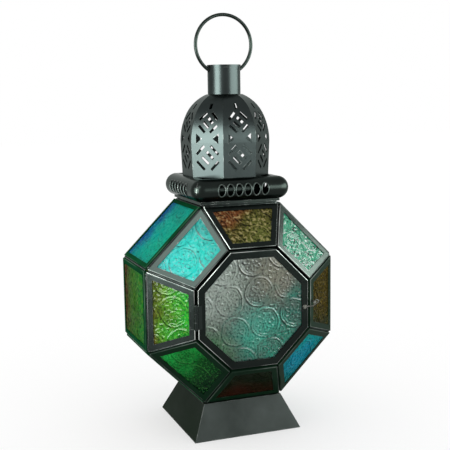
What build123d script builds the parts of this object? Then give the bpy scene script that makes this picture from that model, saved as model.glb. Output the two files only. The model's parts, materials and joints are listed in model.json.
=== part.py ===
from build123d import *
from math import atan, cos, degrees, radians, sin, sqrt, tan
import os

# Octagonal candle lantern of black sheet metal and pressed glass, on a square foot.
# A glass drum lies on its side: a flat back, a hinged front door, and bevelled panels all round.
# Millimetres, +Z up, front towards -Y. The origin is the middle of the foot's resting face.

# Drum
body_width = 150.0          # across the flats of the rim
rim_depth = 63.0            # front edge to back edge of the rim
bevel_depth = 24.5          # how far each bevel stands out from the rim
front_width = 89.0          # across the flats of the door opening and of the back window
SIDES = 8

# Channel frames and the glass that they hold
glass_thickness = 2.0
glass_play = 0.1            # between the glass and each cheek of its channel
glass_overlap = 2.4         # how far the channel covers the glass
bevel_strip = 4.4           # width of the metal strip round a bevel pane
rim_strip = 3.6             # round a rim pane
door_strip = 5.4            # round the door's pane and the back window's
frame_sheet = 0.5
frame_bend = 0.8            # rounding of the folded outer edges
seam_gap = 0.1              # between neighbouring frames, at their inner edges
door_gap = 0.35             # extra room round the door
door_stop_width = 3.6       # strip behind the door that it closes against
door_stop_gap = 0.3         # between the closed door and that strip

# Plates, foot and candle cup
plate_sheet = 0.8
seat_gap = 0.05             # between pieces that are soldered face to face
foot_height = 24.8
foot_base = 85.2            # side of the square that rests on the table
foot_top = 62.4             # side of the square under the drum
foot_hem = 5.0              # edge folded in at the bottom
foot_flange = 9.0           # edge folded in under the drum
vent_width = 42.0           # hole through the roof plate and the crown plate
cup_bore = 40.6
cup_wall = 0.6
cup_height = 9.0

# Crown of four rolled tubes
crown_plate_width = 62.6
crown_plate_height = 1.8
tube_radius = 8.4
tube_sheet = 0.8
tube_spacing = 59.8         # between the axes of opposite tubes
tube_mitre_gap = 0.1
tube_hole_count = 6
tube_hole_pitch = 6.8
tube_hole_width = 5.8
tube_hole_height = 9.0

# Dome of eight punched gores
dome_sheet = 0.8
dome_base_width = 60.6      # across the flats, at the bottom
dome_wide_width = 62.6      # across the flats, at the widest
dome_wall_height = 25.5     # bottom to widest
dome_height = 60.6
dome_shoulder_radius = 50.0
dome_shoulder_rise = 21.0   # widest to where the roof arc starts
dome_flange = 5.0           # edge folded in at the bottom
dome_seam_gap = 0.08

# Punched pattern of a gore: two lozenges of slots, a pair of triangles between them and a slit on top
low_lozenge_rise = 14.6     # height of the middle above the dome's bottom
low_lozenge_reach = 5.7     # middle to each outer slot, sideways and upwards
low_slot_length = 8.8
high_lozenge_rise = 40.2
high_lozenge_reach = 4.6
high_slot_length = 7.2
slot_width = 2.0
slot_tilt = 45.0            # lean of the slots, this way and that
inner_slot_share = 0.85     # length of an inner slot, as a share of an outer one
inner_slot_place = 0.33     # middle to an inner slot, as a share of the lozenge's reach
inner_slot_width = 2.2
triangle_rise = 28.6
triangle_height = 7.6
triangle_inner = 4.4        # middle of the gore to the point
triangle_outer = 9.1        # middle of the gore to the base
slit_rise = 51.8
slit_height = 4.0
slit_width = 2.2

# Collar and carrying ring
collar_diameter = 24.8
collar_sheet = 0.8
collar_rise = 21.8          # above the dome
collar_depth = 4.0          # inside the dome
collar_play = 0.1
collar_hem_height = 2.0
collar_hem_depth = 0.35
ring_diameter = 44.3        # to the middle of the wire
ring_wire = 2.6
ring_hole_diameter = 4.8
ring_hole_below_top = 3.5

# Door hinge
hinge_length = 17.5
hinge_drop = 1.6            # its middle below the door's
hinge_knuckle_diameter = 3.2
hinge_pin_diameter = 1.6
hinge_pin_play = 0.05       # radial
hinge_pin_overhang = 0.6
hinge_door_knuckle = 6.0
hinge_knuckle_gap = 0.2
hinge_leaf_width = 4.6
hinge_leaf_sheet = 0.6
hinge_standoff = 1.2        # pin axis to the corner line of the seam

# Hook latch
hook_wire = 1.0
hook_eye_play = 0.1         # radial, on its rivet
hook_lift = 0.25            # between the door and the wire
hook_shank = 6.2            # rivet to where the wire starts to rise
hook_bow_out = 12.4         # rivet to the bow, sideways
hook_bow_up = 3.3           # rivet to the bow, upwards
hook_tip_back = 3.6         # bow to the tip, sideways
hook_tip_up = 1.4           # bow to the tip, upwards
rivet_diameter = 1.2
rivet_head_diameter = 2.4
rivet_head_height = 0.6
rivet_inset = 4.6           # seam to the rivet
rivet_drop = 1.6            # below the door's middle
stud_diameter = 1.5
stud_head_diameter = 2.4
stud_out = 2.9              # seam to the keeper stud
stud_up = 3.1               # above the rivet

# Values that follow from the sizes above
half_turn = 180.0 / SIDES
frame_thickness = glass_thickness + 2 * glass_play + 2 * frame_sheet
front_y = rim_depth / 2 + bevel_depth
floor_z = foot_height + seat_gap
centre_z = floor_z + body_width / 2
roof_z = centre_z + body_width / 2
crown_z = roof_z + seat_gap
tube_z = crown_z + crown_plate_height + seat_gap + tube_radius
dome_z = tube_z + tube_radius + seat_gap
dome_top_z = dome_z + dome_height
collar_top_z = dome_top_z + collar_rise
ring_axis_z = collar_top_z - ring_hole_below_top
ring_centre_z = ring_axis_z + sqrt(ring_diameter**2 - collar_diameter**2) / 2

# The eight sides in order, anticlockwise seen from the front
SIDE_NAMES = ["right", "upper_right", "top", "upper_left", "left", "lower_left", "bottom", "lower_right"]
ROOF_SIDE = SIDE_NAMES.index("top")
FLOOR_SIDE = SIDE_NAMES.index("bottom")
GLASS_RIM_SIDES = [k for k in range(SIDES) if k not in (ROOF_SIDE, FLOOR_SIDE)]

FRONT = Vector(0, -1, 0)
BACK = Vector(0, 1, 0)


def outward(side):
    """Direction from the drum's axis to the middle of a side."""
    angle = radians(2 * half_turn * side)
    return Vector(cos(angle), 0, sin(angle))


def corner(index, across, y):
    """Corner of an octagon of the drum, between side index and side index + 1."""
    radius = across / 2 / cos(radians(half_turn))
    angle = radians(half_turn * (2 * index + 1))
    return Vector(radius * cos(angle), y, centre_z + radius * sin(angle))


def bevel_normal(side, face):
    """Outward normal of a bevel panel; face is FRONT or BACK."""
    return (outward(side) * bevel_depth + face * ((body_width - front_width) / 2)).normalized()


def seam_inset(normal, neighbour):
    """How far a frame stops short of the corner line, so that it meets its neighbour at the inner edge."""
    return frame_thickness * tan(radians(normal.get_angle(neighbour) / 2)) + seam_gap / 2


def inset_outline(points, insets):
    """Moves each side of a convex anticlockwise outline inwards; side i runs from point i to the next."""
    count = len(points)
    lines = []
    for i in range(count):
        along = (points[(i + 1) % count] - points[i]).normalized()
        inwards = Vector(-along.Y, along.X)
        lines.append((points[i] + inwards * insets[i], along))
    corners = []
    for i in range(count):
        start, along = lines[i - 1]
        other, other_along = lines[i]
        gap = other - start
        turn = along.X * other_along.Y - along.Y * other_along.X
        corners.append(start + along * ((gap.X * other_along.Y - gap.Y * other_along.X) / turn))
    return corners


def slab(points, top, bottom):
    """Flat plate with the given outline, between two heights."""
    outline = make_face(Polyline(*points, close=True))
    return extrude(Pos(0, 0, top) * outline, amount=top - bottom, dir=(0, 0, -1))


def folded_block(points):
    """Plate as thick as the frames, its outer edges rounded as folded sheet. The outer face is at zero."""
    block = slab(points, 0, -frame_thickness)
    outer_face = block.faces().sort_by(Axis.Z)[-1]
    return fillet(outer_face.edges(), frame_bend)


def even(points, amount):
    """Outline moved inwards by the same amount all round."""
    return inset_outline(points, [amount] * len(points))


def channel_frame(points, strip):
    """Channel of folded sheet round a pane; strip is its width."""
    cheek = frame_sheet
    window = slab(even(points, strip), 0, -frame_thickness)
    channel = slab(even(points, frame_sheet), -cheek, cheek - frame_thickness)
    return folded_block(points) - window - channel


def pane(points, strip):
    """Glass plate that lies in the middle of a channel of that width."""
    face = -frame_sheet - glass_play
    return slab(even(points, strip - glass_overlap), face, face - glass_thickness)


def pan(points, hole=None):
    """Plate with edges folded inwards; the hole, where there is one, is cut through it."""
    hollow = slab(even(points, plate_sheet), -plate_sheet, -frame_thickness)
    plate = folded_block(points) - hollow
    return plate if hole is None else plate - hole


def panel(corners, normal, insets):
    """The plane of a panel, and its outline in that plane. Corners run anticlockwise seen from outside."""
    middle = sum(corners[1:], corners[0]) / len(corners)
    plane = Plane(origin=middle, x_dir=corners[1] - corners[0], z_dir=normal)
    return plane, inset_outline([plane.to_local_coords(point) for point in corners], insets)


def rim_panel(side):
    """Square panel of the rim."""
    normal = outward(side)
    half = rim_depth / 2
    corners = [corner(side - 1, body_width, -half), corner(side - 1, body_width, half),
               corner(side, body_width, half), corner(side, body_width, -half)]
    to_next = seam_inset(normal, outward(side + 1))
    insets = [to_next, seam_inset(normal, bevel_normal(side, BACK)),
              to_next, seam_inset(normal, bevel_normal(side, FRONT))]
    return panel(corners, normal, insets)


def bevel_panel(side, face):
    """Tapered panel between the rim and the door or the back window."""
    normal = bevel_normal(side, face)
    outer_y = face.Y * rim_depth / 2
    inner_y = face.Y * front_y
    outer_first = corner(side - 1, body_width, outer_y)
    outer_last = corner(side, body_width, outer_y)
    inner_first = corner(side - 1, front_width, inner_y)
    inner_last = corner(side, front_width, inner_y)
    to_side = seam_inset(normal, bevel_normal(side + 1, face))
    to_rim = seam_inset(normal, outward(side))
    to_face = seam_inset(normal, face)
    if face is FRONT:
        corners = [outer_first, outer_last, inner_last, inner_first]
    else:
        corners = [outer_last, outer_first, inner_first, inner_last]
    return panel(corners, normal, [to_rim, to_side, to_face, to_side])


def face_panel(face, extra_gap):
    """Octagon of the door or of the back window."""
    order = range(SIDES) if face is FRONT else range(SIDES, 0, -1)
    corners = [corner(k, front_width, face.Y * front_y) for k in order]
    inset = seam_inset(face, bevel_normal(0, face)) + extra_gap
    return panel(corners, face, [inset] * SIDES)


def make_door_stop():
    """Octagonal strip on the inner faces of the front bevels, just behind the closed door."""
    half_lean = FRONT.get_angle(bevel_normal(0, FRONT)) / 2
    inner_seam = front_width / 2 - frame_thickness * tan(radians(half_lean))
    spread = (body_width - front_width) / 2 / bevel_depth
    reach = inner_seam + door_stop_gap * spread - seat_gap
    front = frame_thickness + door_stop_gap - front_y
    rings = []
    for across in (2 * reach, 2 * (reach - door_stop_width)):
        outline = [corner(k, across, front) for k in range(SIDES)]
        rings.append(make_face(Polyline(*outline, close=True)))
    return extrude(rings[0] - rings[1], amount=frame_sheet, dir=BACK)


def square_shell(outer_base, outer_top, height, sheet):
    """Four-sided skirt that narrows upwards, open at both ends."""
    lean = degrees(atan((outer_base - outer_top) / 2 / height))
    inner_base = outer_base - 2 * sheet
    outside = extrude(Rectangle(outer_base, outer_base), amount=height, taper=lean)
    return outside - extrude(Rectangle(inner_base, inner_base), amount=height, taper=lean)


def square_ring(outer, inner, bottom, height):
    """Flat square plate with a square hole."""
    flat = Rectangle(outer, outer) - Rectangle(inner, inner)
    return extrude(Pos(0, 0, bottom) * flat, amount=height)


def make_foot():
    """Pyramid skirt with its lower edge hemmed inwards and a flange under the drum."""
    slope = (foot_base - foot_top) / foot_height
    hem_outer = foot_base - slope * plate_sheet - plate_sheet
    flange_outer = foot_top - plate_sheet / 2
    flange_z = foot_height - plate_sheet
    skirt = square_shell(foot_base, foot_top, foot_height, plate_sheet)
    hem = square_ring(hem_outer, foot_base - 2 * foot_hem, 0, plate_sheet)
    flange = square_ring(flange_outer, foot_top - 2 * foot_flange, flange_z, plate_sheet)
    return skirt + hem + flange


def make_candle_cup():
    """Shallow round cup on the floor plate."""
    bottom = floor_z + plate_sheet + seat_gap
    low = (Align.CENTER, Align.CENTER, Align.MIN)
    outside = Cylinder(cup_bore / 2 + cup_wall, cup_height, align=low)
    inside = Cylinder(cup_bore / 2, cup_height, align=low)
    return Pos(0, 0, bottom) * (outside - Pos(0, 0, cup_wall) * inside)


def make_crown_plate():
    """Shallow pan, open side down, that carries the crown tubes round the vent."""
    hollow_width = crown_plate_width - 2 * plate_sheet
    low = (Align.CENTER, Align.CENTER, Align.MIN)
    block = Box(crown_plate_width, crown_plate_width, crown_plate_height, align=low)
    hollow = Box(hollow_width, hollow_width, crown_plate_height - plate_sheet, align=low)
    vent = Cylinder(vent_width / 2, crown_plate_height, align=low)
    return Pos(0, 0, crown_z) * (block - hollow - vent)


def rounded_bar(radius):
    """Front bar of the crown, with a ball at each end."""
    bar = Pos(0, -tube_spacing / 2, tube_z) * Rot(0, 90, 0) * Cylinder(radius, tube_spacing)
    for end in (-1, 1):
        bar += Pos(end * tube_spacing / 2, -tube_spacing / 2, tube_z) * Sphere(radius)
    return bar


def make_crown_tube():
    """Front tube of the crown, mitred at both corners and punched with a row of ovals."""
    reach = tube_spacing
    apex = -tube_mitre_gap / 2 / sin(radians(45))
    sector = make_face(Polyline((0, apex), (-reach, apex - reach), (reach, apex - reach), close=True))
    tube = rounded_bar(tube_radius) - rounded_bar(tube_radius - tube_sheet)
    tube = tube & extrude(Pos(0, 0, tube_z - reach / 2) * sector, amount=reach)
    front = Plane(origin=(0, -tube_spacing / 2, tube_z), x_dir=(1, 0, 0), z_dir=(0, -1, 0))
    for i in range(tube_hole_count):
        x = (i - (tube_hole_count - 1) / 2) * tube_hole_pitch
        oval = Pos(x, 0) * Ellipse(tube_hole_width / 2, tube_hole_height / 2)
        tube -= extrude(front * oval, amount=2 * tube_radius)
    return tube


def dome_section(inset):
    """Half section of the dome, from the axis to its outline moved inwards by the sheet."""
    base = dome_base_width / 2 - inset
    wide = dome_wide_width / 2 - inset
    wide_z = dome_z + dome_wall_height
    rim = collar_diameter / 2 + collar_play
    shoulder = dome_shoulder_radius - inset
    shoulder_centre = Vector(dome_wide_width / 2 - dome_shoulder_radius, wide_z)
    # The shoulder arc leaves the wall upright and ends in this direction from its centre.
    shoulder_run = sqrt(dome_shoulder_radius**2 - dome_shoulder_rise**2)
    shoulder_out = Vector(shoulder_run, dome_shoulder_rise).normalized()
    joint = shoulder_centre + shoulder_out * dome_shoulder_radius
    # The roof arc goes on from there, tangent to it, and ends at the collar.
    chord = Vector(rim, dome_top_z) - joint
    roof_radius = chord.length**2 / (-2 * chord.dot(shoulder_out))
    roof_centre = joint - shoulder_out * roof_radius
    roof = roof_radius - inset
    top = roof_centre.Y + sqrt(roof**2 - (rim - roof_centre.X)**2)
    start_angle = Vector(1, 0).get_angle(shoulder_out)
    end_angle = Vector(1, 0).get_angle(Vector(rim, top) - roof_centre)
    shoulder_arc = CenterArc(shoulder_centre, shoulder, 0, start_angle)
    roof_arc = CenterArc(roof_centre, roof, start_angle, end_angle - start_angle)
    outline = Polyline((rim, top), (rim, dome_z), (base, dome_z), (wide, wide_z))
    return make_face(outline + shoulder_arc + roof_arc)


def punched_pattern():
    """Openings of one gore, drawn flat: sideways and up."""
    openings = []

    def lozenge(rise, reach, slot_length):
        inner_length = slot_length * inner_slot_share
        for across, up in ((-1, 1), (1, 1), (-1, -1), (1, -1)):
            turn = slot_tilt if across * up < 0 else -slot_tilt
            openings.append(Pos(across * reach, dome_z + rise + up * reach)
                            * Rot(0, 0, turn) * Rectangle(slot_length, slot_width))
        for step in (-inner_slot_place * reach, inner_slot_place * reach):
            openings.append(Pos(step, dome_z + rise + step)
                            * Rot(0, 0, -slot_tilt) * Rectangle(inner_length, inner_slot_width))

    lozenge(low_lozenge_rise, low_lozenge_reach, low_slot_length)
    lozenge(high_lozenge_rise, high_lozenge_reach, high_slot_length)
    middle = dome_z + triangle_rise
    for side in (-1, 1):
        point = (side * triangle_inner, middle)
        base_top = (side * triangle_outer, middle + triangle_height / 2)
        base_bottom = (side * triangle_outer, middle - triangle_height / 2)
        openings.append(make_face(Polyline(point, base_top, base_bottom, close=True)))
    openings.append(Pos(0, dome_z + slit_rise) * Rectangle(slit_width, slit_height))
    return openings


def make_gore():
    """Gore of the dome that faces the front."""
    reach = dome_wide_width
    upright = Plane(origin=(0, 0, 0), x_dir=(0, -1, 0), z_dir=(-1, 0, 0))
    section = dome_section(0) - dome_section(dome_sheet)
    flange_reach = dome_flange - dome_sheet / 2
    flange_middle = dome_base_width / 2 - dome_flange + flange_reach / 2
    flange = Pos(flange_middle, dome_z + dome_sheet / 2) * Rectangle(flange_reach, dome_sheet)
    gore = extrude(upright * (section + flange), amount=reach / 2, both=True)
    apex = -dome_seam_gap / 2 / sin(radians(half_turn))
    spread = reach * tan(radians(half_turn))
    sector = make_face(Polyline((0, apex), (-spread, apex - reach), (spread, apex - reach), close=True))
    gore = gore & extrude(Pos(0, 0, dome_z) * sector, amount=dome_height)
    front = Plane(origin=(0, 0, 0), x_dir=(1, 0, 0), z_dir=(0, -1, 0))
    for opening in punched_pattern():
        gore -= extrude(front * opening, amount=reach)
    return gore


def make_collar():
    """Short tube with a hem round its mouth and a hole on each side for the ring."""
    bottom = dome_top_z - collar_depth
    height = collar_top_z - bottom
    low = (Align.CENTER, Align.CENTER, Align.MIN)
    outer = collar_diameter / 2
    hem = Cylinder(outer + collar_hem_depth, collar_hem_height, align=low)
    tube = Cylinder(outer, height, align=low) + Pos(0, 0, height - collar_hem_height) * hem
    tube = Pos(0, 0, bottom) * (tube - Cylinder(outer - collar_sheet, height, align=low))
    holes = Pos(0, 0, ring_axis_z) * Rot(0, 90, 0) * Cylinder(ring_hole_diameter / 2, 2 * collar_diameter)
    return tube - holes


def make_ring():
    """Carrying ring of round wire, standing upright in the collar's holes."""
    return Pos(0, 0, ring_centre_z) * Rot(90, 0, 0) * Torus(ring_diameter / 2, ring_wire / 2)


# The hinge axis stands in front of the left seam of the door.
left_normal = bevel_normal(SIDE_NAMES.index("left"), FRONT)
hinge_tilt = FRONT.get_angle(left_normal) / 2
hinge_height = hinge_standoff * cos(radians(hinge_tilt))     # above the door's face and the bevel's
hinge_seam = Vector(-front_width / 2, -front_y, centre_z - hinge_drop)
hinge_axis = hinge_seam + (FRONT + left_normal).normalized() * hinge_standoff
hinge_side_knuckle = (hinge_length - hinge_door_knuckle) / 2 - hinge_knuckle_gap


def make_hinge_leaf(normal, along, knuckles):
    """Leaf that lies on a face and runs away from the pin; knuckles are (middle, length)."""
    plane = Plane(origin=hinge_axis - normal * hinge_height, x_dir=along, z_dir=normal)
    knuckle_radius = hinge_knuckle_diameter / 2
    clear = knuckle_radius + hinge_knuckle_gap
    low = (Align.MIN, Align.CENTER, Align.MIN)
    flat = Box(hinge_leaf_width - clear, hinge_length, hinge_leaf_sheet, align=low)
    leaf = Pos(clear, 0, seat_gap) * flat
    for middle, length in knuckles:
        leaf += Pos(0, middle, seat_gap) * Box(clear, length, hinge_leaf_sheet, align=low)
        leaf += Pos(0, middle, hinge_height) * Rot(90, 0, 0) * Cylinder(knuckle_radius, length)
    bore = Cylinder(hinge_pin_diameter / 2 + hinge_pin_play, 2 * hinge_length)
    leaf -= Pos(0, 0, hinge_height) * Rot(90, 0, 0) * bore
    return plane * leaf


def make_hinge_pin():
    """Straight pin through all three knuckles."""
    return Pos(hinge_axis) * Cylinder(hinge_pin_diameter / 2, hinge_length + 2 * hinge_pin_overhang)


# The latch: a rivet on the door, a wire hook that turns on it, and a keeper stud on the right bevel.
rivet_base = Vector(front_width / 2 - rivet_inset, -front_y, centre_z - rivet_drop)
hook_height = hook_lift + hook_wire / 2                      # wire's middle above the door's face
head_height = hook_lift + hook_wire + hook_lift              # underside of the rivet's and stud's heads
latch_plane = Plane(origin=rivet_base, x_dir=(1, 0, 0), z_dir=FRONT)


def make_headed_pin(diameter, head_diameter, bottom):
    """Pin along the door's normal with a flat head; bottom is where its foot starts."""
    low = (Align.CENTER, Align.CENTER, Align.MIN)
    pin = Pos(0, 0, bottom) * Cylinder(diameter / 2, head_height - bottom, align=low)
    return pin + Pos(0, 0, head_height) * Cylinder(head_diameter / 2, rivet_head_height, align=low)


def make_hook():
    """Bent wire with an eye round the rivet and a tip that rests over the keeper stud."""
    eye_radius = rivet_diameter / 2 + hook_eye_play + hook_wire / 2
    bow = Vector(hook_bow_out, hook_bow_up)
    points = [(eye_radius, 0), (hook_shank, 0), bow, bow + Vector(-hook_tip_back, hook_tip_up)]
    path = FilletPolyline(*points, radius=hook_wire)
    section = Plane(origin=path @ 0, z_dir=path % 0) * Circle(hook_wire / 2)
    wire = sweep(section, path=path) + Torus(eye_radius, hook_wire / 2)
    return latch_plane * Pos(0, 0, hook_height) * wire


def make_keeper_stud():
    """Stud that stands on the right bevel; its foot is cut to the slope of that face."""
    normal = bevel_normal(SIDE_NAMES.index("right"), FRONT)
    across = rivet_inset + stud_out
    whole_pin = make_headed_pin(stud_diameter, stud_head_diameter, -2 * bevel_depth)
    stud = latch_plane * Pos(across, stud_up, 0) * whole_pin
    seam = Vector(front_width / 2, -front_y, centre_z)
    below = Plane(origin=seam + normal * seat_gap, z_dir=normal)
    return split(stud, bisect_by=below, keep=Keep.TOP)


# Build every piece under its node's name
nodes = {}

for k in range(SIDES):
    plane, outline = bevel_panel(k, FRONT)
    nodes["front_frame_" + SIDE_NAMES[k]] = plane * channel_frame(outline, bevel_strip)
    nodes["front_pane_" + SIDE_NAMES[k]] = plane * pane(outline, bevel_strip)

back_frames = []
for k in range(SIDES):
    plane, outline = bevel_panel(k, BACK)
    back_frames.append(plane * channel_frame(outline, bevel_strip))
    nodes["back_pane_" + SIDE_NAMES[k]] = plane * pane(outline, bevel_strip)
nodes["back_bevel_frames"] = Compound(children=back_frames)

for k in GLASS_RIM_SIDES:
    plane, outline = rim_panel(k)
    nodes["rim_frame_" + SIDE_NAMES[k]] = plane * channel_frame(outline, rim_strip)
    nodes["rim_pane_" + SIDE_NAMES[k]] = plane * pane(outline, rim_strip)

plane, outline = face_panel(BACK, 0)
nodes["back_window_frame"] = plane * channel_frame(outline, door_strip)
nodes["back_window_pane"] = plane * pane(outline, door_strip)
plane, outline = face_panel(FRONT, door_gap)
nodes["door_frame"] = plane * channel_frame(outline, door_strip)
nodes["door_pane"] = plane * pane(outline, door_strip)
nodes["door_stop"] = make_door_stop()

plane, outline = rim_panel(FLOOR_SIDE)
nodes["floor_plate"] = plane * pan(outline)
plane, outline = rim_panel(ROOF_SIDE)
nodes["roof_plate"] = plane * pan(outline, Cylinder(vent_width / 2, 4 * frame_thickness))
nodes["foot"] = make_foot()
nodes["candle_cup"] = make_candle_cup()
nodes["crown_plate"] = make_crown_plate()

crown_tube = make_crown_tube()
for i, place in enumerate(("front", "right", "back", "left")):
    nodes["crown_tube_" + place] = Rot(0, 0, 90 * i) * crown_tube

gore = make_gore()
nodes["dome"] = Compound(children=[Rot(0, 0, 2 * half_turn * i) * gore for i in range(SIDES)])
nodes["collar"] = make_collar()
nodes["ring_handle"] = make_ring()

knuckle_shift = (hinge_length - hinge_side_knuckle) / 2
left_along = Vector(left_normal.Y, -left_normal.X, 0)
nodes["hinge_leaf_door"] = make_hinge_leaf(FRONT, (1, 0, 0), [(0, hinge_door_knuckle)])
nodes["hinge_leaf_body"] = make_hinge_leaf(left_normal, left_along, [(-knuckle_shift, hinge_side_knuckle),
                                                                     (knuckle_shift, hinge_side_knuckle)])
nodes["hinge_pin"] = make_hinge_pin()
nodes["latch_rivet"] = latch_plane * make_headed_pin(rivet_diameter, rivet_head_diameter, seat_gap)
nodes["latch_hook"] = make_hook()
nodes["latch_keeper"] = make_keeper_stud()

os.makedirs("parts", exist_ok=True)
for name, piece in nodes.items():
    export_step(piece, "parts/" + name + ".step")
print(len(nodes), "nodes")
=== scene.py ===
import json
from collections import namedtuple
from math import acos, asin, ceil, cos, hypot, pi, radians, sin, tan

import bmesh
import bpy
import numpy as np
from mathutils import Matrix, Vector


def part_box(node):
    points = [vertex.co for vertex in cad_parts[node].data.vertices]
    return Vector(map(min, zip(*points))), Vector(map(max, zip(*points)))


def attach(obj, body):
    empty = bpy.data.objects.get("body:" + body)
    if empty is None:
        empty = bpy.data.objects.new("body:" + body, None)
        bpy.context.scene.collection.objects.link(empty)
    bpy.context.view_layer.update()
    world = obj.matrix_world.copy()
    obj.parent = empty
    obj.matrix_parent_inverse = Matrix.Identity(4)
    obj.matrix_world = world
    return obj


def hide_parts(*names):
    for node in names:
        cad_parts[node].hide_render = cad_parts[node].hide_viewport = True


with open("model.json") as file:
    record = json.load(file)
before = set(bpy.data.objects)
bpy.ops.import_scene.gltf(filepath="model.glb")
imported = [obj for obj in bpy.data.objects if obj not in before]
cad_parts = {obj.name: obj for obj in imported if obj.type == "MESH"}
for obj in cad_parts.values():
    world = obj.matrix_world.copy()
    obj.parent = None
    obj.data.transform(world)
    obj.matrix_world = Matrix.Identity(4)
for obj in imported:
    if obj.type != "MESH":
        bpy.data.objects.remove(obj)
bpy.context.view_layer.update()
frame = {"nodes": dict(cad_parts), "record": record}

# A candle lantern of blackened sheet metal and pressed, stained glass.
# Metres, +Z up, front towards -Y, as in the frame.
MM = 0.001
nodes = frame["nodes"]
slot_of = {part["node"]: part["material_slot"] for part in frame["record"]["subparts"]}
body_of = {node: body for body, members in frame["record"]["behaviour"]["bodies"].items() for node in members}
pane_nodes = sorted(node for node in nodes if "_pane" in node)

# The drum's middle, from the door and the back window
door_low, door_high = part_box("door_frame")
back_low, back_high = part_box("back_window_frame")
drum_centre = np.array((door_low + door_high + back_low + back_high) / 4)

# Pressed glass
FRONT_GRID = 0.45 * MM      # spacing of the relief's vertices on the front
GRID = 0.6 * MM             # and on the other panes
COVER = 2.4 * MM            # width of glass hidden in the frame's channel, which stays flat
FADE = 1.0 * MM             # from the flat edge to the full relief
RING_PITCH = 23.5 * MM      # pressed rings repeat this far apart
RING_RADIUS = 10.4 * MM
RING_SCALLOP = 0.12 * MM    # how far each ring waves in and out
RING_HEIGHT = 0.42 * MM
RIDGE = 0.62 * MM           # half width of a pressed ridge
THIN_RIDGE = 0.50 * MM
INNER_RING = 2.6 * RIDGE    # from a ring to the fainter one inside it
INNER_HEIGHT = 0.5 * RING_HEIGHT
SCALLOPS = 8                # waves round a ring
PETALS = 8                  # inside a ring
FLOWER_REACH = 6.8 * MM
FLOWER_NOTCH = 0.45         # share of a petal's reach at which its sides meet the next one
HEART_REACH = 3.4 * MM      # smaller petals inside those
HEART_NOTCH = 0.4
FLOWER_HEIGHT = 0.30 * MM
BUD_RADIUS = 0.9 * MM
LEAVES = 4                  # between the rings
LEAF_REACH = 5.2 * MM
WANDER = 0.7 * MM           # how far the pattern strays from its lattice
WANDER_SIZE = 9.0 * MM
WANDER_SEEDS = (3, 4)       # sideways and upwards
RIPPLE = 0.05 * MM          # hammered ground
RIPPLES = ((1.0, 0.8 * MM, 7), (0.6, 1.84 * MM, 8))     # share, size and seed of each of its waves
NOISE_CELLS = 128
PATTERN_ANGLE = radians(11.5)
DOOR_RING = np.array((3.6, 12.6)) * MM  # middle of one ring on the door
GLINT_SIDE = Vector((0.6, 0.8, 0))         # from the relief's flanks with painted shade to those with painted glints, on a pane
SAME_FACE = 0.1 * MM        # points of a pane's outer face are level within this
DECIMALS = 7                # of a metre, to which points of a pane are the same
CUT_TOLERANCE = 1e-7

# Drum outline, for the solder in its seams
SIDES = 8
BODY_WIDTH = 150.0 * MM
RIM_DEPTH = 63.0 * MM
FRONT_WIDTH = 89.0 * MM
FRONT_Y = 56.0 * MM         # from the drum's middle to its front and back
BEVEL_FALL = (BODY_WIDTH - FRONT_WIDTH) / 2
BEVEL_RUN = FRONT_Y - RIM_DEPTH / 2
BEVEL_SHARE = BEVEL_FALL / hypot(BEVEL_FALL, BEVEL_RUN)     # of the front's direction in a bevel's normal
FRAME_THICKNESS = 3.2 * MM
SEAM_DEPTH = 1.9 * MM       # from the corner line down to the middle of the solder
SEAM_LAP = 0.25 * MM        # how far the solder reaches into the frames
SEAM_END = 2.5 * MM         # left free at each end
SEAM_STEP = 1.6 * MM
SEAM_SWELL = 0.12           # share by which a bead swells and shrinks
BEAD_SIDES = 8


class Graph:
    """Node tree of a material or a world, with short ways to add nodes and links."""

    def __init__(self, tree):
        self.tree = tree
        tree.nodes.clear()

    def add(self, kind, inputs=None, **settings):
        node = self.tree.nodes.new("ShaderNode" + kind)
        for name, value in settings.items():
            setattr(node, name, value)
        for key, value in (inputs or {}).items():
            if isinstance(value, bpy.types.NodeSocket):
                self.tree.links.new(value, node.inputs[key])
            else:
                node.inputs[key].default_value = value
        return node

    def ramp(self, factor, stops):
        """Colour ramp; stops are (position, colour)."""
        node = self.add("ValToRGB", {"Fac": factor})
        elements = node.color_ramp.elements
        while len(elements) < len(stops):
            elements.new(0.5)
        for element, (position, colour) in zip(elements, stops):
            element.position = position
            element.color = (*colour, 1)
        return node.outputs["Color"]

    def math(self, operation, *values):
        return self.add("Math", dict(enumerate(values)), operation=operation).outputs[0]

    def between(self, value, low, high, to_low=0.0, to_high=1.0):
        """Value taken from the range low to high into the range to_low to to_high, and kept there."""
        limits = {"Value": value, "From Min": low, "From Max": high, "To Min": to_low, "To Max": to_high}
        return self.add("MapRange", limits).outputs["Result"]

    def dot(self, a, b):
        return self.add("VectorMath", {0: a, 1: b}, operation="DOT_PRODUCT").outputs["Value"]

    def noise(self, vector, scale, detail):
        node = self.add("TexNoise", {"Vector": vector, "Scale": scale, "Detail": detail})
        return node.outputs["Fac"]

    def mix(self, factor, a, b, blend="MIX"):
        node = self.add("Mix", {"Factor": factor, "A": a, "B": b}, data_type="RGBA", blend_type=blend)
        return node.outputs["Result"]

    def bump(self, height, distance, strength, under=None):
        inputs = {"Height": height, "Distance": distance, "Strength": strength}
        if under:
            inputs["Normal"] = under
        return self.add("Bump", inputs).outputs["Normal"]


def new_material(name):
    material = bpy.data.materials.new(name)
    material.use_nodes = True
    return material, Graph(material.node_tree)


def finish_material(graph, inputs):
    """Principled shader with the given inputs, as the material's surface."""
    shader = graph.add("BsdfPrincipled", inputs)
    graph.add("OutputMaterial", {"Surface": shader.outputs["BSDF"]})


def ray_seen(graph):
    """One for camera, glossy and transmission rays, and zero for the rays that light the object."""
    path = graph.add("LightPath").outputs
    seen = graph.math("MAXIMUM", path["Is Camera Ray"], path["Is Glossy Ray"])
    return graph.math("MAXIMUM", seen, path["Is Transmission Ray"])


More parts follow.
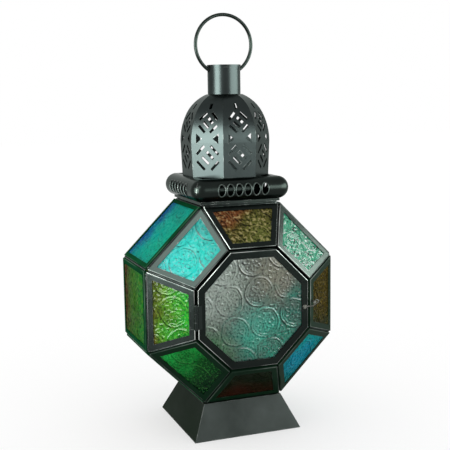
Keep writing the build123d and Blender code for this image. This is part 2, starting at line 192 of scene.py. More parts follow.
# Metal. The scales of noise are per metre.
Finish = namedtuple("Finish", "dark light smooth rough wear sheen", defaults=(None,))
EDGE_RADIUS = 0.4 * MM          # width of the wear along an edge
FOOT_EDGE_RADIUS = 1.2 * MM
EDGE_SAMPLES = 6
EDGE_COSINES = (0.97, 0.85)     # between the true and the rounded normal, where wear starts and is full
FOLD_START = (0.05, 0.15)       # a normal's distance from the flat faces' share, where folds begin
FOLD_END = (0.75, 0.45)         # and where they are over
PATCH_SCALE = 45.0
PATCH_COLOURS = (0.3, 0.7)      # noise at the dark and at the light colour
PATCH_SHINE = (0.25, 0.75)      # noise at the least and at the most roughness
GRAIN_SCALE = 1800.0
RUB_SCALE = 150.0
RUB_CLOUDS = (0.52, 0.66)       # noise where rubbing starts and is full
# Noise that varies the painted highlight along the folds
FOLD_HIGHLIGHT_SCALE = 40.0
FOLD_HIGHLIGHT_CLOUDS = (0.38, 0.62)
LEAST_FOLD_HIGHLIGHT = 0.08             # of the most
CLOUD_SCALE = 28.0
CLOUDS = (0.3, 0.7)
CLOUD_ROUGHNESS = (0.60, 0.45)
LEAST_CLOUD = 0.55              # share of the foot's painted light that the thinnest cloud keeps
# Where the foot's painted shade on its sides turns to painted light on its front and back
FOOT_LIT_FACING = (0.3, 0.6)        # a normal's share of the depth, from the foot's sides to its front and back
SCUFF_SCALE = 130.0
SCUFFS = (0.42, 0.62)
MOST_SCUFF = 0.8
TARNISH_SCALE = 420.0
SCRATCH_SCALE = 2600.0
DENT = 0.5 * MM
SKIN = 0.04 * MM
SCUFF = 0.2 * MM
SCRATCH = 0.03 * MM
# Colour of uncoated metal, for wear and for the painted highlights along edges and folds
BARE_METAL_AND_HIGHLIGHT = (0.55, 0.58, 0.55, 1)
SCUFFED_METAL = (0.30, 0.33, 0.31, 1)
LACQUER_TINT = (0.80, 1.0, 0.93, 1)
BLACKENED_RIM = (0.66, 0.70, 0.68, 1)   # share of a metal's glare at low angles that blackened steel keeps
# Stops of the foot's coat, from the dark greenish painted shade of its sides to the grey painted light on its
# front and back, and of the wire, from tarnished to clean
FOOT_PAINTED_LIGHT = [(0.0, (0.002, 0.011, 0.003)), (0.5, (0.034, 0.044, 0.039)), (1.0, (0.086, 0.104, 0.097))]
WIRE_STEEL = [(0.35, (0.03, 0.03, 0.027)), (0.6, (0.09, 0.09, 0.08))]
FOOT_SHEEN = 0.04


def edge_band(graph, radius):
    """One where the rounded normal leaves the true one, along the edges, and zero elsewhere."""
    rounded = graph.add("Bevel", {"Radius": radius}, samples=EDGE_SAMPLES).outputs["Normal"]
    true_normal = graph.add("NewGeometry").outputs["True Normal"]
    return graph.between(graph.dot(rounded, true_normal), *EDGE_COSINES)


def painted_fold_highlight(graph, place, fold):
    """Painted highlight along the rounded folds of a frame, drawn as uncoated metal.

    The fold is a direction, the flat faces' share of it, which the folds leave, and the strongest painted
    highlight.
    """
    direction, flat, shine = fold
    share = graph.dot(graph.add("TexCoord").outputs["Normal"], direction)
    away = graph.math("ABSOLUTE", graph.math("SUBTRACT", share, flat))
    turned = graph.between(away, *FOLD_START)
    shallow = graph.between(away, *FOLD_END)
    clouds = graph.noise(place, FOLD_HIGHLIGHT_SCALE, 4.0)
    fold_highlight = graph.between(clouds, *FOLD_HIGHLIGHT_CLOUDS, LEAST_FOLD_HIGHLIGHT * shine, shine)
    return graph.math("MULTIPLY", graph.math("MULTIPLY", turned, shallow), fold_highlight)


def lacquer(name, finish, fold=None):
    """Black finish on thin sheet, wearing through to the metal here and there along its edges, partly as wear
    and partly as a painted highlight, with a painted highlight along the folds of a frame.

    A finish with a sheen is lacquer, and one without is blackened steel.
    """
    material, graph = new_material(name)
    place = graph.add("TexCoord").outputs["Object"]
    patches = graph.noise(place, PATCH_SCALE, 3.0)
    coat = graph.ramp(patches, list(zip(PATCH_COLOURS, (finish.dark, finish.light))))
    # Metal along the edges: partly wear, partly a painted highlight.
    rubbed_and_lit = graph.between(graph.noise(place, RUB_SCALE, 4.0), *RUB_CLOUDS, 0.0, finish.wear)
    bared_metal = graph.math("MULTIPLY", edge_band(graph, EDGE_RADIUS), rubbed_and_lit)
    # Painted highlight along the folds of a frame, drawn as uncoated metal.
    if fold:
        bared_metal = graph.math("MAXIMUM", bared_metal, painted_fold_highlight(graph, place, fold))
    dents = graph.bump(patches, DENT, 0.2)
    inputs = {
        "Base Color": graph.mix(bared_metal, coat, BARE_METAL_AND_HIGHLIGHT),
        "Roughness": graph.between(patches, *PATCH_SHINE, finish.smooth, finish.rough),
        "Normal": graph.bump(graph.noise(place, GRAIN_SCALE, 2.0), SKIN, 0.3, dents),
    }
    if finish.sheen:
        inputs.update({"Metallic": bared_metal, "Specular IOR Level": finish.sheen, "Specular Tint": LACQUER_TINT})
    else:
        inputs.update({"Metallic": 1.0, "Specular Tint": BLACKENED_RIM})
    finish_material(graph, inputs)
    return material


def rubbed_foot(name):
    """Thin lacquer, painted light in grey on the foot's front and back and painted shade in dark greenish on
    its sides, and scuffed along its edges.
    """
    material, graph = new_material(name)
    coordinates = graph.add("TexCoord").outputs
    clouds = graph.noise(coordinates["Object"], CLOUD_SCALE, 5.0)
    scuffs = graph.noise(coordinates["Object"], SCUFF_SCALE, 5.0)
    # Painted light and shade: the front and back are made lighter, and the sides darker and greenish, as lit.
    facing = graph.math("ABSOLUTE", graph.dot(coordinates["Normal"], (0, 1, 0)))
    lit_faces = graph.between(facing, *FOOT_LIT_FACING)
    rubbed_and_lit = graph.math("MULTIPLY", lit_faces, graph.between(clouds, *CLOUDS, LEAST_CLOUD, 1.0))
    coat = graph.ramp(rubbed_and_lit, FOOT_PAINTED_LIGHT)
    scuffed = graph.between(scuffs, *SCUFFS, 0.0, MOST_SCUFF)
    bared_metal = graph.math("MULTIPLY", edge_band(graph, FOOT_EDGE_RADIUS), scuffed)
    finish_material(graph, {
        "Base Color": graph.mix(bared_metal, coat, SCUFFED_METAL),
        "Roughness": graph.between(clouds, *CLOUDS, *CLOUD_ROUGHNESS),
        "Normal": graph.bump(scuffs, SCUFF, 0.2),
        "Specular IOR Level": FOOT_SHEEN,
    })
    return material


def dull_wire(name):
    """Dull drawn steel wire with fine scratches and darker spots."""
    material, graph = new_material(name)
    place = graph.add("TexCoord").outputs["Object"]
    tarnish = graph.noise(place, TARNISH_SCALE, 3.0)
    finish_material(graph, {
        "Base Color": graph.ramp(tarnish, WIRE_STEEL),
        "Roughness": graph.between(tarnish, *CLOUDS, *CLOUD_ROUGHNESS),
        "Normal": graph.bump(graph.noise(place, SCRATCH_SCALE, 2.0), SCRATCH, 0.3),
        "Metallic": 1.0,
    })
    return material


# Glass
Stain = namedtuple("Stain", "stops direction pool speckle bare")
Place = namedtuple("Place", "ior roughness gloss clear grain")
DRIFT_SCALE = 60.0              # per metre
DRIFT = 0.9                     # how far the colour run wanders
SHADE_LEAN = (-0.04, -0.30)      # lean of a flank where the painted shade starts and is full
GLINT_LEAN = (0.12, 0.42)        # and where the painted glint starts and is full
GLINT_FLANK = 0.5                # share of the glint colour there
DARK_SPECKS = (0.55, 0.64)      # noise where a dark speck starts and is full
GLINT_SPECKS = (0.32, 0.42)      # noise where a painted glint speck is full and ends
GLINT_SPECK = 0.6
COAT_ROUGHNESS = 0.04
GRAIN_HEIGHT = 0.15 * MM


def stained_glass(name, stain, place_on_lantern):
    """Pressed glass with a painted stain that runs from one colour to another across the pane.

    Painted shade darkens the relief's lower flanks, letting the given share of light through, and painted
    glints lighten its upper flanks towards the glint colour. Dark specks and painted glint specks are as
    strong as its speckle says.
    """
    material, graph = new_material(name)
    pane = graph.add("UVMap", uv_map="pane").outputs["UV"]
    place = graph.add("TexCoord").outputs["Object"]
    along = graph.dot(pane, (*stain.direction, 0))
    # The middle of the pane has the middle of the ramp.
    centring = (1 - DRIFT - sum(stain.direction)) / 2
    drift = graph.math("MULTIPLY_ADD", graph.noise(place, DRIFT_SCALE, 3.0), DRIFT, centring)
    coloured = graph.ramp(graph.math("ADD", along, drift), stain.stops)
    lean = graph.add("Attribute", attribute_name="lean").outputs["Fac"]
    grain = graph.noise(place, place_on_lantern.grain, 1.0)
    # Painted shade on the lower flanks and painted glints on the upper ones, by the lean of the relief.
    flank_shade = graph.between(lean, *SHADE_LEAN, 1.0, stain.pool)
    dark_speck = graph.between(grain, *DARK_SPECKS, 1.0, 1 - stain.speckle * (1 - stain.pool))
    shade = graph.mix(1.0, coloured, graph.math("MULTIPLY", flank_shade, dark_speck), "MULTIPLY")
    flank_glint = graph.between(lean, *GLINT_LEAN, 0.0, GLINT_FLANK)
    # Painted glints in specks of the grain.
    speck_glint = graph.between(grain, *GLINT_SPECKS, GLINT_SPECK * stain.speckle, 0.0)
    shade = graph.mix(graph.math("MAXIMUM", flank_glint, speck_glint), shade, (*stain.bare, 1))
    skin = graph.bump(grain, GRAIN_HEIGHT, 0.5)
    finish_material(graph, {
        "Base Color": shade, "Roughness": place_on_lantern.roughness, "IOR": place_on_lantern.ior,
        "Transmission Weight": place_on_lantern.clear, "Coat Weight": place_on_lantern.gloss,
        "Coat Roughness": COAT_ROUGHNESS, "Normal": skin, "Coat Normal": skin})
    return material


def read_pane(node):
    """Axes, outline and thickness of a pane, from its node's mesh. The outline runs round its outer face."""
    points = np.array([vertex.co for vertex in node.data.vertices])
    points = np.unique(points.round(DECIMALS), axis=0)
    middle = points.mean(axis=0)
    normal = np.linalg.svd(points - middle)[2][2]
    if normal @ (middle - drum_centre) < 0:
        normal = -normal
    up = np.array((0, 0, 1)) - normal * normal[2]
    up = up / np.linalg.norm(up)
    across = np.cross(up, normal)
    local = (points - middle) @ np.array((across, up, normal)).T
    top = local[:, 2].max()
    outline = local[local[:, 2] > top - SAME_FACE][:, :2]
    turn = np.arctan2(outline[:, 1], outline[:, 0])
    place = Matrix(np.column_stack((across, up, normal, middle)).tolist()).to_4x4()
    return place, outline[np.argsort(turn)], top, local[:, 2].min()


def edge_distance(points, outline):
    """How far each point lies inside the outline."""
    nearest = np.full(len(points), np.inf)
    for start, end in zip(outline, np.roll(outline, -1, axis=0)):
        along = (end - start) / np.linalg.norm(end - start)
        inwards = np.array((-along[1], along[0]))
        nearest = np.minimum(nearest, (points - start) @ inwards)
    return nearest


def smooth_step(values):
    t = np.clip(values, 0, 1)
    return t * t * (3 - 2 * t)


def ridge(distance, width=RIDGE):
    return np.exp(-(distance / width) ** 2)


def lattice_noise(points, size, seed):
    """Smooth noise from -1 to 1, from a seeded lattice of heights."""
    table = np.random.default_rng(seed).uniform(-1, 1, (NOISE_CELLS, NOISE_CELLS))
    cell = points / size
    low = np.floor(cell).astype(int)
    part = smooth_step(cell - low)
    heights = np.zeros(len(points))
    for i in (0, 1):
        for j in (0, 1):
            weight = np.abs(1 - i - part[:, 0]) * np.abs(1 - j - part[:, 1])
            heights += weight * table[(low[:, 0] + i) % NOISE_CELLS, (low[:, 1] + j) % NOISE_CELLS]
    return heights


def about_lattice(points, shift):
    """Radius and angle of each point about the nearest lattice point."""
    cell = points / RING_PITCH - shift
    offset = (cell - np.round(cell)) * RING_PITCH
    return np.hypot(offset[:, 0], offset[:, 1]), np.arctan2(offset[:, 1], offset[:, 0])


def lobes(angle, count, notch=0.0):
    """Share of its reach that a figure with so many lobes has at an angle."""
    return notch + (1 - notch) * np.abs(np.cos(count / 2 * angle))


def pressed_relief(points):
    """Height of the pressed pattern: scalloped rings with a flower in each, and four leaves between them."""
    stray = np.column_stack([lattice_noise(points, WANDER_SIZE, seed) for seed in WANDER_SEEDS])
    drawn = points + WANDER * stray
    radius, angle = about_lattice(drawn, 0.0)
    gap, turn = about_lattice(drawn, 0.5)
    off_ring = radius - RING_RADIUS - RING_SCALLOP * np.cos(SCALLOPS * angle)
    flower = FLOWER_REACH * lobes(angle, PETALS, FLOWER_NOTCH)
    heart = HEART_REACH * lobes(angle + pi / PETALS, PETALS, HEART_NOTCH)
    leaf = LEAF_REACH * lobes(turn, LEAVES)
    figures = [
        RING_HEIGHT * ridge(off_ring),
        INNER_HEIGHT * ridge(off_ring + INNER_RING, THIN_RIDGE),
        FLOWER_HEIGHT * ridge(radius - flower),
        FLOWER_HEIGHT * ridge(radius - heart, THIN_RIDGE),
        RING_HEIGHT * ridge(radius, BUD_RADIUS),
        FLOWER_HEIGHT * ridge(gap - leaf),
        FLOWER_HEIGHT * ridge(gap, BUD_RADIUS),
    ]
    ground = sum(share * lattice_noise(points, size, seed) for share, size, seed in RIPPLES)
    return np.maximum.reduce(figures) + RIPPLE * ground


def on_pattern(points, ring):
    """Points of a pane in the pattern's own axes, which lie askew and start at the middle of a ring."""
    c, s = cos(PATTERN_ANGLE), sin(PATTERN_ANGLE)
    return (points - ring) @ np.array(((c, -s), (s, c)))


def pane_grid(outline, spacing):
    """Flat grid of quads cut to the outline."""
    low = outline.min(axis=0)
    steps = np.ceil((outline.max(axis=0) - low) / spacing).astype(int) + 1
    bm = bmesh.new()
    rows = []
    for j in range(steps[1] + 1):
        y = low[1] + j * spacing
        rows.append([bm.verts.new((low[0] + i * spacing, y, 0)) for i in range(steps[0] + 1)])
    for below, above in zip(rows, rows[1:]):
        for i in range(steps[0]):
            bm.faces.new((below[i], below[i + 1], above[i + 1], above[i]))
    for start, end in zip(outline, np.roll(outline, -1, axis=0)):
        outwards = (end[1] - start[1], start[0] - end[0], 0)
        everything = bm.verts[:] + bm.edges[:] + bm.faces[:]
        bmesh.ops.bisect_plane(bm, geom=everything, dist=CUT_TOLERANCE, plane_co=(*start, 0),
                               plane_no=outwards, clear_outer=True)
    return bm


def add_piece(name, bm, body, material):
    """New object of the finished mesh, riding on a body."""
    mesh = bpy.data.meshes.new(name)
    bm.to_mesh(mesh)
    bm.free()
    mesh.materials.append(material)
    piece = bpy.data.objects.new(name, mesh)
    bpy.context.scene.collection.objects.link(piece)
    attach(piece, body)
    return piece


def close_plate(bm, bottom):
    """Sides and a flat underside for the pressed face, with sharp edges."""
    rim = [edge for edge in bm.edges if edge.is_boundary]
    skirt = bmesh.ops.extrude_edge_only(bm, edges=rim)["geom"]
    for item in skirt:
        if isinstance(item, bmesh.types.BMVert):
            item.co.z = bottom
    lower_rim = [item for item in skirt if isinstance(item, bmesh.types.BMEdge) and item.is_boundary]
    bmesh.ops.contextual_create(bm, geom=lower_rim)
    for edge in rim + lower_rim:
        edge.smooth = False
    bmesh.ops.recalc_face_normals(bm, faces=bm.faces[:])


def pressed_pane(node_name, material):
    """Glass plate with the pressed pattern on its outer face, in place of a plain pane."""
    place, outline, top, bottom = read_pane(nodes[node_name])
    on_front = node_name.startswith(("door", "front"))
    bm = pane_grid(outline, FRONT_GRID if on_front else GRID)
    points = np.array([vertex.co.xy for vertex in bm.verts])
    open_glass = smooth_step((edge_distance(points, outline) - COVER) / FADE)
    ring = DOOR_RING if node_name == "door_pane" else outline[0]
    heights = pressed_relief(on_pattern(points, ring)) * open_glass
    for vertex, height in zip(bm.verts, heights):
        vertex.co.z = top + height
    # Lean of each vertex towards the upper flanks, for the painted shade and glints of the stain.
    lean_layer = bm.verts.layers.float.new("lean")
    bm.normal_update()
    for vertex in bm.verts:
        vertex[lean_layer] = vertex.normal.dot(GLINT_SIDE)
    uv_layer = bm.loops.layers.uv.new("pane")
    low, size = outline.min(axis=0), np.ptp(outline, axis=0)
    for face in bm.faces:
        face.smooth = True
        for loop in face.loops:
            loop[uv_layer].uv = (np.array(loop.vert.co.xy) - low) / size
    close_plate(bm, bottom)
    bm.transform(place)
    piece = add_piece("pressed_" + node_name, bm, body_of[node_name], material)
    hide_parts(node_name)


def round_section(bm, middle, aside, outwards, radius):
    """Ring of vertices about a point, across a bead of solder or a rolled rim."""
    section = []
    for side in range(BEAD_SIDES):
        turn = 2 * pi * side / BEAD_SIDES
        section.append(bm.verts.new(middle + (aside * cos(turn) + outwards * sin(turn)) * radius))
    return section


def join_sections(bm, sections):
    """Smooth skin from each section to the next."""
    for section, following in zip(sections, sections[1:]):
        for side in range(BEAD_SIDES):
            after = (side + 1) % BEAD_SIDES
            face = bm.faces.new((section[side], section[after], following[after], following[side]))
            face.smooth = True


# Solder in the seams between the frames

def drum_corner(index, across, y):
    """Corner of the octagon of the given width at the given depth."""
    radius = across / 2 / cos(pi / SIDES)
    turn = (2 * index + 1) * pi / SIDES
    return Vector(drum_centre) + Vector((radius * cos(turn), y, radius * sin(turn)))


def drum_seams():
    """Each seam's two ends and the outward normals of the panels that meet there."""
    seams = []
    for index in range(SIDES):
        turn = 2 * index * pi / SIDES
        next_turn = turn + 2 * pi / SIDES
        rim = Vector((cos(turn), 0, sin(turn)))
        next_rim = Vector((cos(next_turn), 0, sin(next_turn)))
        front, back = (drum_corner(index, BODY_WIDTH, side * RIM_DEPTH / 2) for side in (-1, 1))
        seams.append((front, back, rim, next_rim))
        for side in (-1, 1):
            y_axis = Vector((0, side, 0))
            bevel = (rim * BEVEL_RUN + y_axis * BEVEL_FALL).normalized()
            next_bevel = (next_rim * BEVEL_RUN + y_axis * BEVEL_FALL).normalized()
            rim_y, window_y = side * RIM_DEPTH / 2, side * FRONT_Y
            before, corner = (drum_corner(index + step, BODY_WIDTH, rim_y) for step in (-1, 0))
            window_before, window = (drum_corner(index + step, FRONT_WIDTH, window_y) for step in (-1, 0))
            seams.append((corner, window, bevel, next_bevel))
            seams.append((before, corner, rim, bevel))
            if side > 0:
                seams.append((window_before, window, bevel, y_axis))
    return seams


def add_bead(bm, start, end, normal_a, normal_b, seed):
    """Uneven run of solder in the groove between two frames."""
    half_angle = acos(normal_a.dot(normal_b)) / 2
    outwards = (normal_a + normal_b).normalized()
    along = (end - start).normalized()
    aside = along.cross(outwards)
    steps = ceil((end - start).length / SEAM_STEP)
    radius = (FRAME_THICKNESS - SEAM_DEPTH) * tan(half_angle) + SEAM_LAP
    swell = 1 + SEAM_SWELL * np.random.default_rng(seed).uniform(-1, 1, steps + 1)
    first = start + along * SEAM_END - outwards * SEAM_DEPTH
    last = end - along * SEAM_END - outwards * SEAM_DEPTH
    sections = []
    for step in range(steps + 1):
        middle = first.lerp(last, step / steps)
        sections.append(round_section(bm, middle, aside, outwards, radius * swell[step]))
    join_sections(bm, sections)
    bm.faces.new(sections[0][::-1])
    bm.faces.new(sections[-1])


def solder_seams(material):
    bm = bmesh.new()
    for seed, (start, end, normal_a, normal_b) in enumerate(drum_seams()):
        add_bead(bm, start, end, normal_a, normal_b, seed)
    bmesh.ops.recalc_face_normals(bm, faces=bm.faces[:])
    add_piece("solder_seams", bm, body_of["roof_plate"], material)


# Rolled rims of the ovals in the crown's tubes
TUBES = 4
OVAL_COUNT = 6              # in each tube
OVAL_PITCH = 6.8 * MM
OVAL_WIDTH = 5.8 * MM
OVAL_HEIGHT = 9.0 * MM
RIM_RADIUS = 0.45 * MM
RIM_STEPS = 40


def add_eyelet(bm, middle, axis_y, axis_z, radius, turn):
    """Round rim along an oval on the front tube, then turned about the lantern's axis to its own tube."""
    sections = []
    for step in range(RIM_STEPS):
        t = 2 * pi * step / RIM_STEPS
        lean = asin(OVAL_HEIGHT / 2 * sin(t) / radius)
        out = Vector((0, -cos(lean), sin(lean)))
        point = Vector((middle + OVAL_WIDTH / 2 * cos(t), axis_y, axis_z)) + out * radius
        climb = OVAL_HEIGHT * cos(t)
        along = Vector((-OVAL_WIDTH * sin(t), climb * sin(lean) / cos(lean), climb))
        aside = along.normalized().cross(out)
        sections.append(round_section(bm, turn @ point, turn @ aside, turn @ out, RIM_RADIUS))
    join_sections(bm, sections + sections[:1])


def tube_eyelets(material):
    low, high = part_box("crown_tube_front")
    radius = (high[2] - low[2]) / 2
    axis_y, axis_z = low[1] + radius, low[2] + radius
    bm = bmesh.new()
    for tube in range(TUBES):
        turn = Matrix.Rotation(2 * pi * tube / TUBES, 3, "Z")
        for i in range(OVAL_COUNT):
            middle = (i - (OVAL_COUNT - 1) / 2) * OVAL_PITCH
            add_eyelet(bm, middle, axis_y, axis_z, radius, turn)
    bmesh.ops.recalc_face_normals(bm, faces=bm.faces[:])
    add_piece("tube_eyelets", bm, body_of["crown_tube_front"], material)


# Stains: stops along the direction given in the pane's own width and height, seen from outside, the share
# of light that the painted shade on the lower flanks lets through, its speckle, and the colour of the painted
# glints
STAINS = {
    "amber_glass": Stain(
        [(0.15, (0.31, 0.11, 0.035)), (0.45, (0.16, 0.15, 0.03)), (0.85, (0.22, 0.26, 0.06))],
        direction=(0.6, -0.5), pool=0.2, speckle=1.0, bare=(0.92, 0.76, 0.36)),
    "turquoise_glass": Stain(
        [(0.1, (0.08, 0.98, 0.94)), (0.5, (0.02, 0.96, 0.86)), (1.0, (0.02, 0.64, 0.58))],
        direction=(0.5, 0.6), pool=0.03, speckle=0.35, bare=(0.80, 1.00, 0.98)),
    "lime_glass": Stain(
        [(0.0, (0.28, 0.20, 0.01)), (0.3, (0.19, 0.54, 0.03)), (0.8, (0.04, 0.74, 0.06))],
        direction=(1.0, 0.0), pool=0.15, speckle=0.7, bare=(0.60, 0.80, 0.16)),
    "emerald_glass": Stain(
        [(0.1, (0.001, 0.06, 0.015)), (0.5, (0.004, 0.17, 0.024)), (0.9, (0.02, 0.62, 0.11))],
        direction=(-0.9, 0.9), pool=0.2, speckle=0.6, bare=(0.16, 0.62, 0.14)),
    "brown_glass": Stain(
        [(0.1, (0.07, 0.02, 0.01)), (0.6, (0.012, 0.026, 0.008))],
        direction=(0.0, 1.0), pool=0.4, speckle=0.5, bare=(0.06, 0.06, 0.03)),
    "blue_glass": Stain(
        [(0.1, (0.006, 0.30, 0.26)), (0.5, (0.01, 0.44, 0.60)), (0.9, (0.01, 0.50, 0.46))],
        direction=(0.3, 0.7), pool=0.35, speckle=0.5, bare=(0.08, 0.66, 0.70)),
    "olive_glass": Stain(
        [(0.1, (0.05, 0.07, 0.025)), (0.5, (0.11, 0.09, 0.013)), (0.9, (0.15, 0.11, 0.012))],
        direction=(0.2, 0.8), pool=0.3, speckle=0.7, bare=(0.34, 0.24, 0.05)),
    "mint_glass": Stain(
        [(0.1, (0.08, 0.58, 0.34)), (0.9, (0.04, 0.44, 0.24))],
        direction=(0.4, 0.6), pool=0.1, speckle=1.0, bare=(0.74, 0.97, 0.88)),
    "teal_glass": Stain(
        [(0.0, (0.01, 0.16, 0.52)), (0.3, (0.005, 0.54, 0.48)), (0.9, (0.005, 0.60, 0.42))],
        direction=(1.0, 0.0), pool=0.3, speckle=0.5, bare=(0.06, 0.82, 0.68)),
    "rose_glass": Stain(
        [(0.1, (0.52, 0.38, 0.34)), (0.9, (0.48, 0.44, 0.28))],
        direction=(0.5, 0.5), pool=0.5, speckle=0.5, bare=(0.75, 0.66, 0.60)),
    # The door's teal towards its lower right is painted: the colour of the teal pane seen through it.
    "clear_glass": Stain(
        [(0.05, (0.54, 0.60, 0.56)), (0.5, (0.48, 0.55, 0.48)), (0.64, (0.30, 0.55, 0.47)),
         (0.82, (0.04, 0.70, 0.56))],
        direction=(0.6, -0.5), pool=0.1, speckle=0.9, bare=(0.74, 0.80, 0.76)),
    # Painted shade: a darker copy of the lime stain for the rim panes.
    "rim_lime_glass": Stain(
        [(0.0, (0.15, 0.05, 0.01)), (0.3, (0.08, 0.22, 0.02)), (0.8, (0.03, 0.34, 0.03))],
        direction=(1.0, 0.0), pool=0.2, speckle=0.9, bare=(0.30, 0.44, 0.06)),
    "back_turquoise_glass": Stain(
        [(0.1, (0.02, 0.78, 0.58)), (0.9, (0.02, 0.74, 0.64))],
        direction=(0.2, 0.8), pool=0.5, speckle=0.5, bare=(0.10, 0.86, 0.70)),
    "back_clear_glass": Stain(
        [(0.1, (0.70, 0.76, 0.72)), (0.9, (0.74, 0.74, 0.72))],
        direction=(0.5, 0.5), pool=0.4, speckle=0.5, bare=(0.85, 0.88, 0.85)),
}
# Index of refraction, roughness, gloss, see-through share and fineness of grain of a pane by its place on the
# lantern, or by its place and stain
PLACES = {
    "front": Place(ior=1.10, roughness=0.15, gloss=0.18, clear=0.55, grain=560.0),
    "rim": Place(ior=1.03, roughness=0.3, gloss=0.03, clear=0.55, grain=380.0),
    "back": Place(ior=1.06, roughness=0.1, gloss=0.06, clear=0.85, grain=750.0),
    "door": Place(ior=1.25, roughness=0.40, gloss=0.30, clear=0.95, grain=650.0),
    "front_mint_glass": Place(ior=1.05, roughness=0.15, gloss=0.50, clear=0.35, grain=430.0),
    "front_turquoise_glass": Place(ior=1.08, roughness=0.15, gloss=0.24, clear=0.45, grain=480.0),
    "front_amber_glass": Place(ior=1.03, roughness=0.15, gloss=0.12, clear=0.5, grain=480.0),
    "front_emerald_glass": Place(ior=1.05, roughness=0.15, gloss=0.1, clear=0.5, grain=750.0),
    "front_brown_glass": Place(ior=1.05, roughness=0.15, gloss=0.05, clear=0.5, grain=750.0),
    "front_olive_glass": Place(ior=1.05, roughness=0.15, gloss=0.0, clear=0.5, grain=500.0),
    "front_blue_glass": Place(ior=1.05, roughness=0.15, gloss=0.0, clear=0.5, grain=500.0),
}


def pane_material(node_name):
    """Material of a pane, made once for each stain and place."""
    slot = slot_of[node_name]
    place = node_name.split("_")[0]
    name = place + "_" + slot
    stain = STAINS.get(name, STAINS[slot])
    on_lantern = PLACES.get(name, PLACES[place])
    return bpy.data.materials.get(name) or stained_glass(name, stain, on_lantern)


# Finishes; one with a sheen is lacquer, and one without is blackened steel. The lighter copy for the upper
# right frame is painted light; the darker copies for the crown, the door, back and top frames, the lower and
# right frames and the left rim frames are painted shade, greenish on the last two.
FINISHES = {
    "gloss": Finish(
        (0.018, 0.023, 0.021), (0.022, 0.028, 0.026), smooth=0.15, rough=0.22, wear=0.5),
    # Painted light: a lighter copy of the gloss for the upper right frame.
    "painted_light": Finish(
        (0.030, 0.038, 0.034), (0.037, 0.047, 0.042), smooth=0.15, rough=0.22, wear=0.5),
    # Painted shade: a darker copy of the gloss for the crown.
    "crown": Finish(
        (0.011, 0.014, 0.013), (0.015, 0.019, 0.017), smooth=0.22, rough=0.28, wear=0.5),
    # Painted shade: a darker copy of the gloss for the door, back and top frames.
    "dim_painted_shade": Finish(
        (0.009, 0.012, 0.011), (0.013, 0.017, 0.015), smooth=0.17, rough=0.24, wear=0.5),
    "satin": Finish(
        (0.021, 0.026, 0.0255), (0.025, 0.031, 0.0305), smooth=0.27, rough=0.33, wear=0.3),
    "matt": Finish(
        (0.001, 0.007, 0.003), (0.003, 0.011, 0.006), smooth=0.50, rough=0.60, wear=0.3, sheen=0.14),
    # Painted shade, greenish, on the lower and right frames.
    "shade": Finish(
        (0.001, 0.012, 0.004), (0.003, 0.022, 0.008), smooth=0.50, rough=0.60, wear=0.2, sheen=0.05),
    # Painted shade, tinted greenish like the light of the panes, on the left rim frames.
    "green": Finish(
        (0.002, 0.045, 0.014), (0.004, 0.085, 0.028), smooth=0.55, rough=0.65, wear=0.1, sheen=0.002),
    "wire": Finish(
        (0.013, 0.017, 0.015), (0.020, 0.026, 0.023), smooth=0.20, rough=0.30, wear=0.2),
    # Heavy wear on the oval rims, which is partly a painted highlight on them.
    "rubbed_and_lit": Finish(
        (0.004, 0.007, 0.005), (0.020, 0.024, 0.020), smooth=0.25, rough=0.40, wear=0.9, sheen=0.40),
}
# How the names of the nodes with each finish start; the last that fits holds, and the others have gloss
FINISH_NODES = {
    "wire": ("ring_handle", "hinge_pin"),
    "satin": ("dome", "collar"),
    "painted_light": ("front_frame_upper_right",),
    "crown": ("crown_plate", "crown_tube"),
    "dim_painted_shade": ("door_frame", "back", "front_frame_top"),
    "matt": ("rim_frame", "floor_plate", "door_stop", "candle_cup"),
    "shade": ("front_frame_lower", "front_frame_bottom", "front_frame_right"),
    "green": ("rim_frame_left", "rim_frame_upper_left", "rim_frame_lower_left"),
}
# Strength of the painted highlight along the folds of each frame, drawn as uncoated metal
PAINTED_FOLD_HIGHLIGHT = {
    "front_frame_left": 1.0,
    "front_frame_upper_left": 0.45,
    "front_frame_upper_right": 0.7,
    "front_frame_top": 0.3,
    "front_frame_right": 0.4,
    "door_frame": 1.0,
}
OTHER_FOLD_HIGHLIGHT = 0.15


def frame_fold(node_name):
    """Direction that a frame's folds leave, its flat faces' share of it and the strength of the painted
    highlight on its folds.
    """
    shine = PAINTED_FOLD_HIGHLIGHT.get(node_name, OTHER_FOLD_HIGHLIGHT)
    if node_name == "back_bevel_frames":
        return (0, 1, 0), BEVEL_SHARE, shine
    pane_node = nodes.get(node_name.replace("_frame", "_pane"))
    if "_frame" not in node_name or not pane_node:
        return None
    place = read_pane(pane_node)[0]
    return tuple(place.col[2].xyz), 1.0, shine


def metal_material(node_name):
    """Material of a metal node; each frame has its own, for its folds."""
    if slot_of[node_name] == "bare_steel":
        return bpy.data.materials.get("dull_wire") or dull_wire("dull_wire")
    if node_name == "foot":
        return rubbed_foot("rubbed_foot")
    finish = "gloss"
    for name, starts in FINISH_NODES.items():
        if node_name.startswith(starts):
            finish = name
    fold = frame_fold(node_name)
    name = finish + "_" + node_name if fold else finish + "_lacquer"
    return bpy.data.materials.get(name) or lacquer(name, FINISHES[finish], fold)


# Camera at the photograph's place
SENSOR_WIDTH = 36.0         # millimetres
LENS = 72.65                # millimetres
CLIP_START = 10.0 * MM
CAMERA_DISTANCE = 700.7 * MM
CAMERA_AZIMUTH = radians(-20.5)
CAMERA_ELEVATION = radians(8.35)
CAMERA_ROLL = radians(-0.85)
TARGET_HEIGHT = 154.26 * MM
TARGET_SHIFT = -0.83 * MM


def direction_from_front(azimuth, elevation):
    """Direction at an azimuth from the front, positive to the right, and at an elevation."""
    return Vector((sin(azimuth) * cos(elevation), -cos(azimuth) * cos(elevation), sin(elevation)))


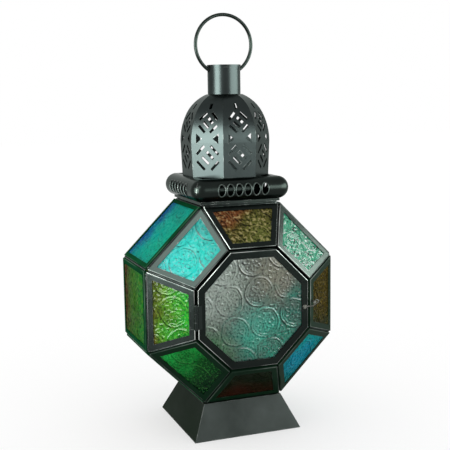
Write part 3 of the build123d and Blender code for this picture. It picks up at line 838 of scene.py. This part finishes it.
def make_camera():
    back = direction_from_front(CAMERA_AZIMUTH, CAMERA_ELEVATION)
    level_right = Vector((cos(CAMERA_AZIMUTH), sin(CAMERA_AZIMUTH), 0))
    level_up = back.cross(level_right)
    right = level_right * cos(CAMERA_ROLL) + level_up * sin(CAMERA_ROLL)
    up = level_up * cos(CAMERA_ROLL) - level_right * sin(CAMERA_ROLL)
    eye = Vector((0, 0, TARGET_HEIGHT)) + right * TARGET_SHIFT + back * CAMERA_DISTANCE
    lens = bpy.data.cameras.new("camera")
    lens.sensor_width = SENSOR_WIDTH
    lens.lens = LENS
    lens.clip_start = CLIP_START
    camera = bpy.data.objects.new("camera", lens)
    turn = Matrix((right, up, back)).transposed().to_4x4()
    camera.matrix_world = Matrix.Translation(eye) @ turn
    bpy.context.scene.collection.objects.link(camera)
    bpy.context.scene.camera = camera


# Light: a white room, and three soft boxes that give the metal and glass their highlights
AIM = Vector((0, 0, 150 * MM))
LAMP_COLOUR = (0.94, 1.0, 0.97)
FLOOR_REACH = 4.0
FLOOR_DROP = 0.2 * MM
FLOOR_COLOUR = (0.48, 0.48, 0.48, 1)
FLOOR_GLOW = 0.53
WHITE = (1, 1, 1, 1)


def soft_box(name, azimuth, elevation, distance, width, height, radiance):
    """Rectangular lamp that faces the lantern. Angles are in degrees and lengths in metres."""
    away = direction_from_front(radians(azimuth), radians(elevation))
    lamp = bpy.data.lights.new(name, "AREA")
    lamp.shape = "RECTANGLE"
    lamp.size = width
    lamp.size_y = height
    lamp.energy = radiance * pi * width * height
    lamp.color = LAMP_COLOUR
    holder = bpy.data.objects.new(name, lamp)
    holder.location = AIM + away * distance
    holder.rotation_euler = away.to_track_quat("Z", "Y").to_euler()
    holder.visible_camera = False
    holder.visible_diffuse = False
    holder.visible_transmission = False
    bpy.context.scene.collection.objects.link(holder)


def make_world():
    world = bpy.data.worlds.new("room")
    world.use_nodes = True
    graph = Graph(world.node_tree)
    white = graph.add("Background", {"Color": WHITE, "Strength": 1.0}).outputs["Background"]
    graph.add("OutputWorld", {"Surface": white})
    bpy.context.scene.world = world


def make_floor():
    """Pale floor that looks white and keeps the lantern's shadow."""
    mesh = bpy.data.meshes.new("floor")
    corners = [(-FLOOR_REACH, -FLOOR_REACH), (FLOOR_REACH, -FLOOR_REACH),
               (FLOOR_REACH, FLOOR_REACH), (-FLOOR_REACH, FLOOR_REACH)]
    mesh.from_pydata([(x, y, -FLOOR_DROP) for x, y in corners], [], [(0, 1, 2, 3)])
    floor = bpy.data.objects.new("floor", mesh)
    bpy.context.scene.collection.objects.link(floor)
    material, graph = new_material("pale_floor")
    paper = graph.add("BsdfDiffuse", {"Color": FLOOR_COLOUR}).outputs["BSDF"]
    glow = graph.math("MULTIPLY", ray_seen(graph), FLOOR_GLOW)
    white = graph.add("Emission", {"Color": WHITE, "Strength": glow}).outputs["Emission"]
    both = graph.add("AddShader", {0: paper, 1: white})
    graph.add("OutputMaterial", {"Surface": both.outputs["Shader"]})
    mesh.materials.append(material)


for node_name, node in nodes.items():
    if node_name not in pane_nodes:
        node.data.materials.clear()
        node.data.materials.append(metal_material(node_name))

for node_name in pane_nodes:
    pressed_pane(node_name, pane_material(node_name))

solder_seams(bpy.data.materials["gloss_lacquer"])
# The oval rims carry heavy wear that is partly a painted highlight.
tube_eyelets(lacquer("rubbed_lacquer", FINISHES["rubbed_and_lit"]))

make_camera()
soft_box("left_box", azimuth=-68, elevation=3, distance=0.9, width=0.60, height=0.75, radiance=22.0)
soft_box("high_box", azimuth=-43, elevation=41, distance=1.0, width=0.30, height=0.30, radiance=8.0)
soft_box("right_box", azimuth=55, elevation=9, distance=1.0, width=1.25, height=0.50, radiance=12.0)
make_world()
make_floor()
bpy.context.scene.view_settings.view_transform = "Standard"
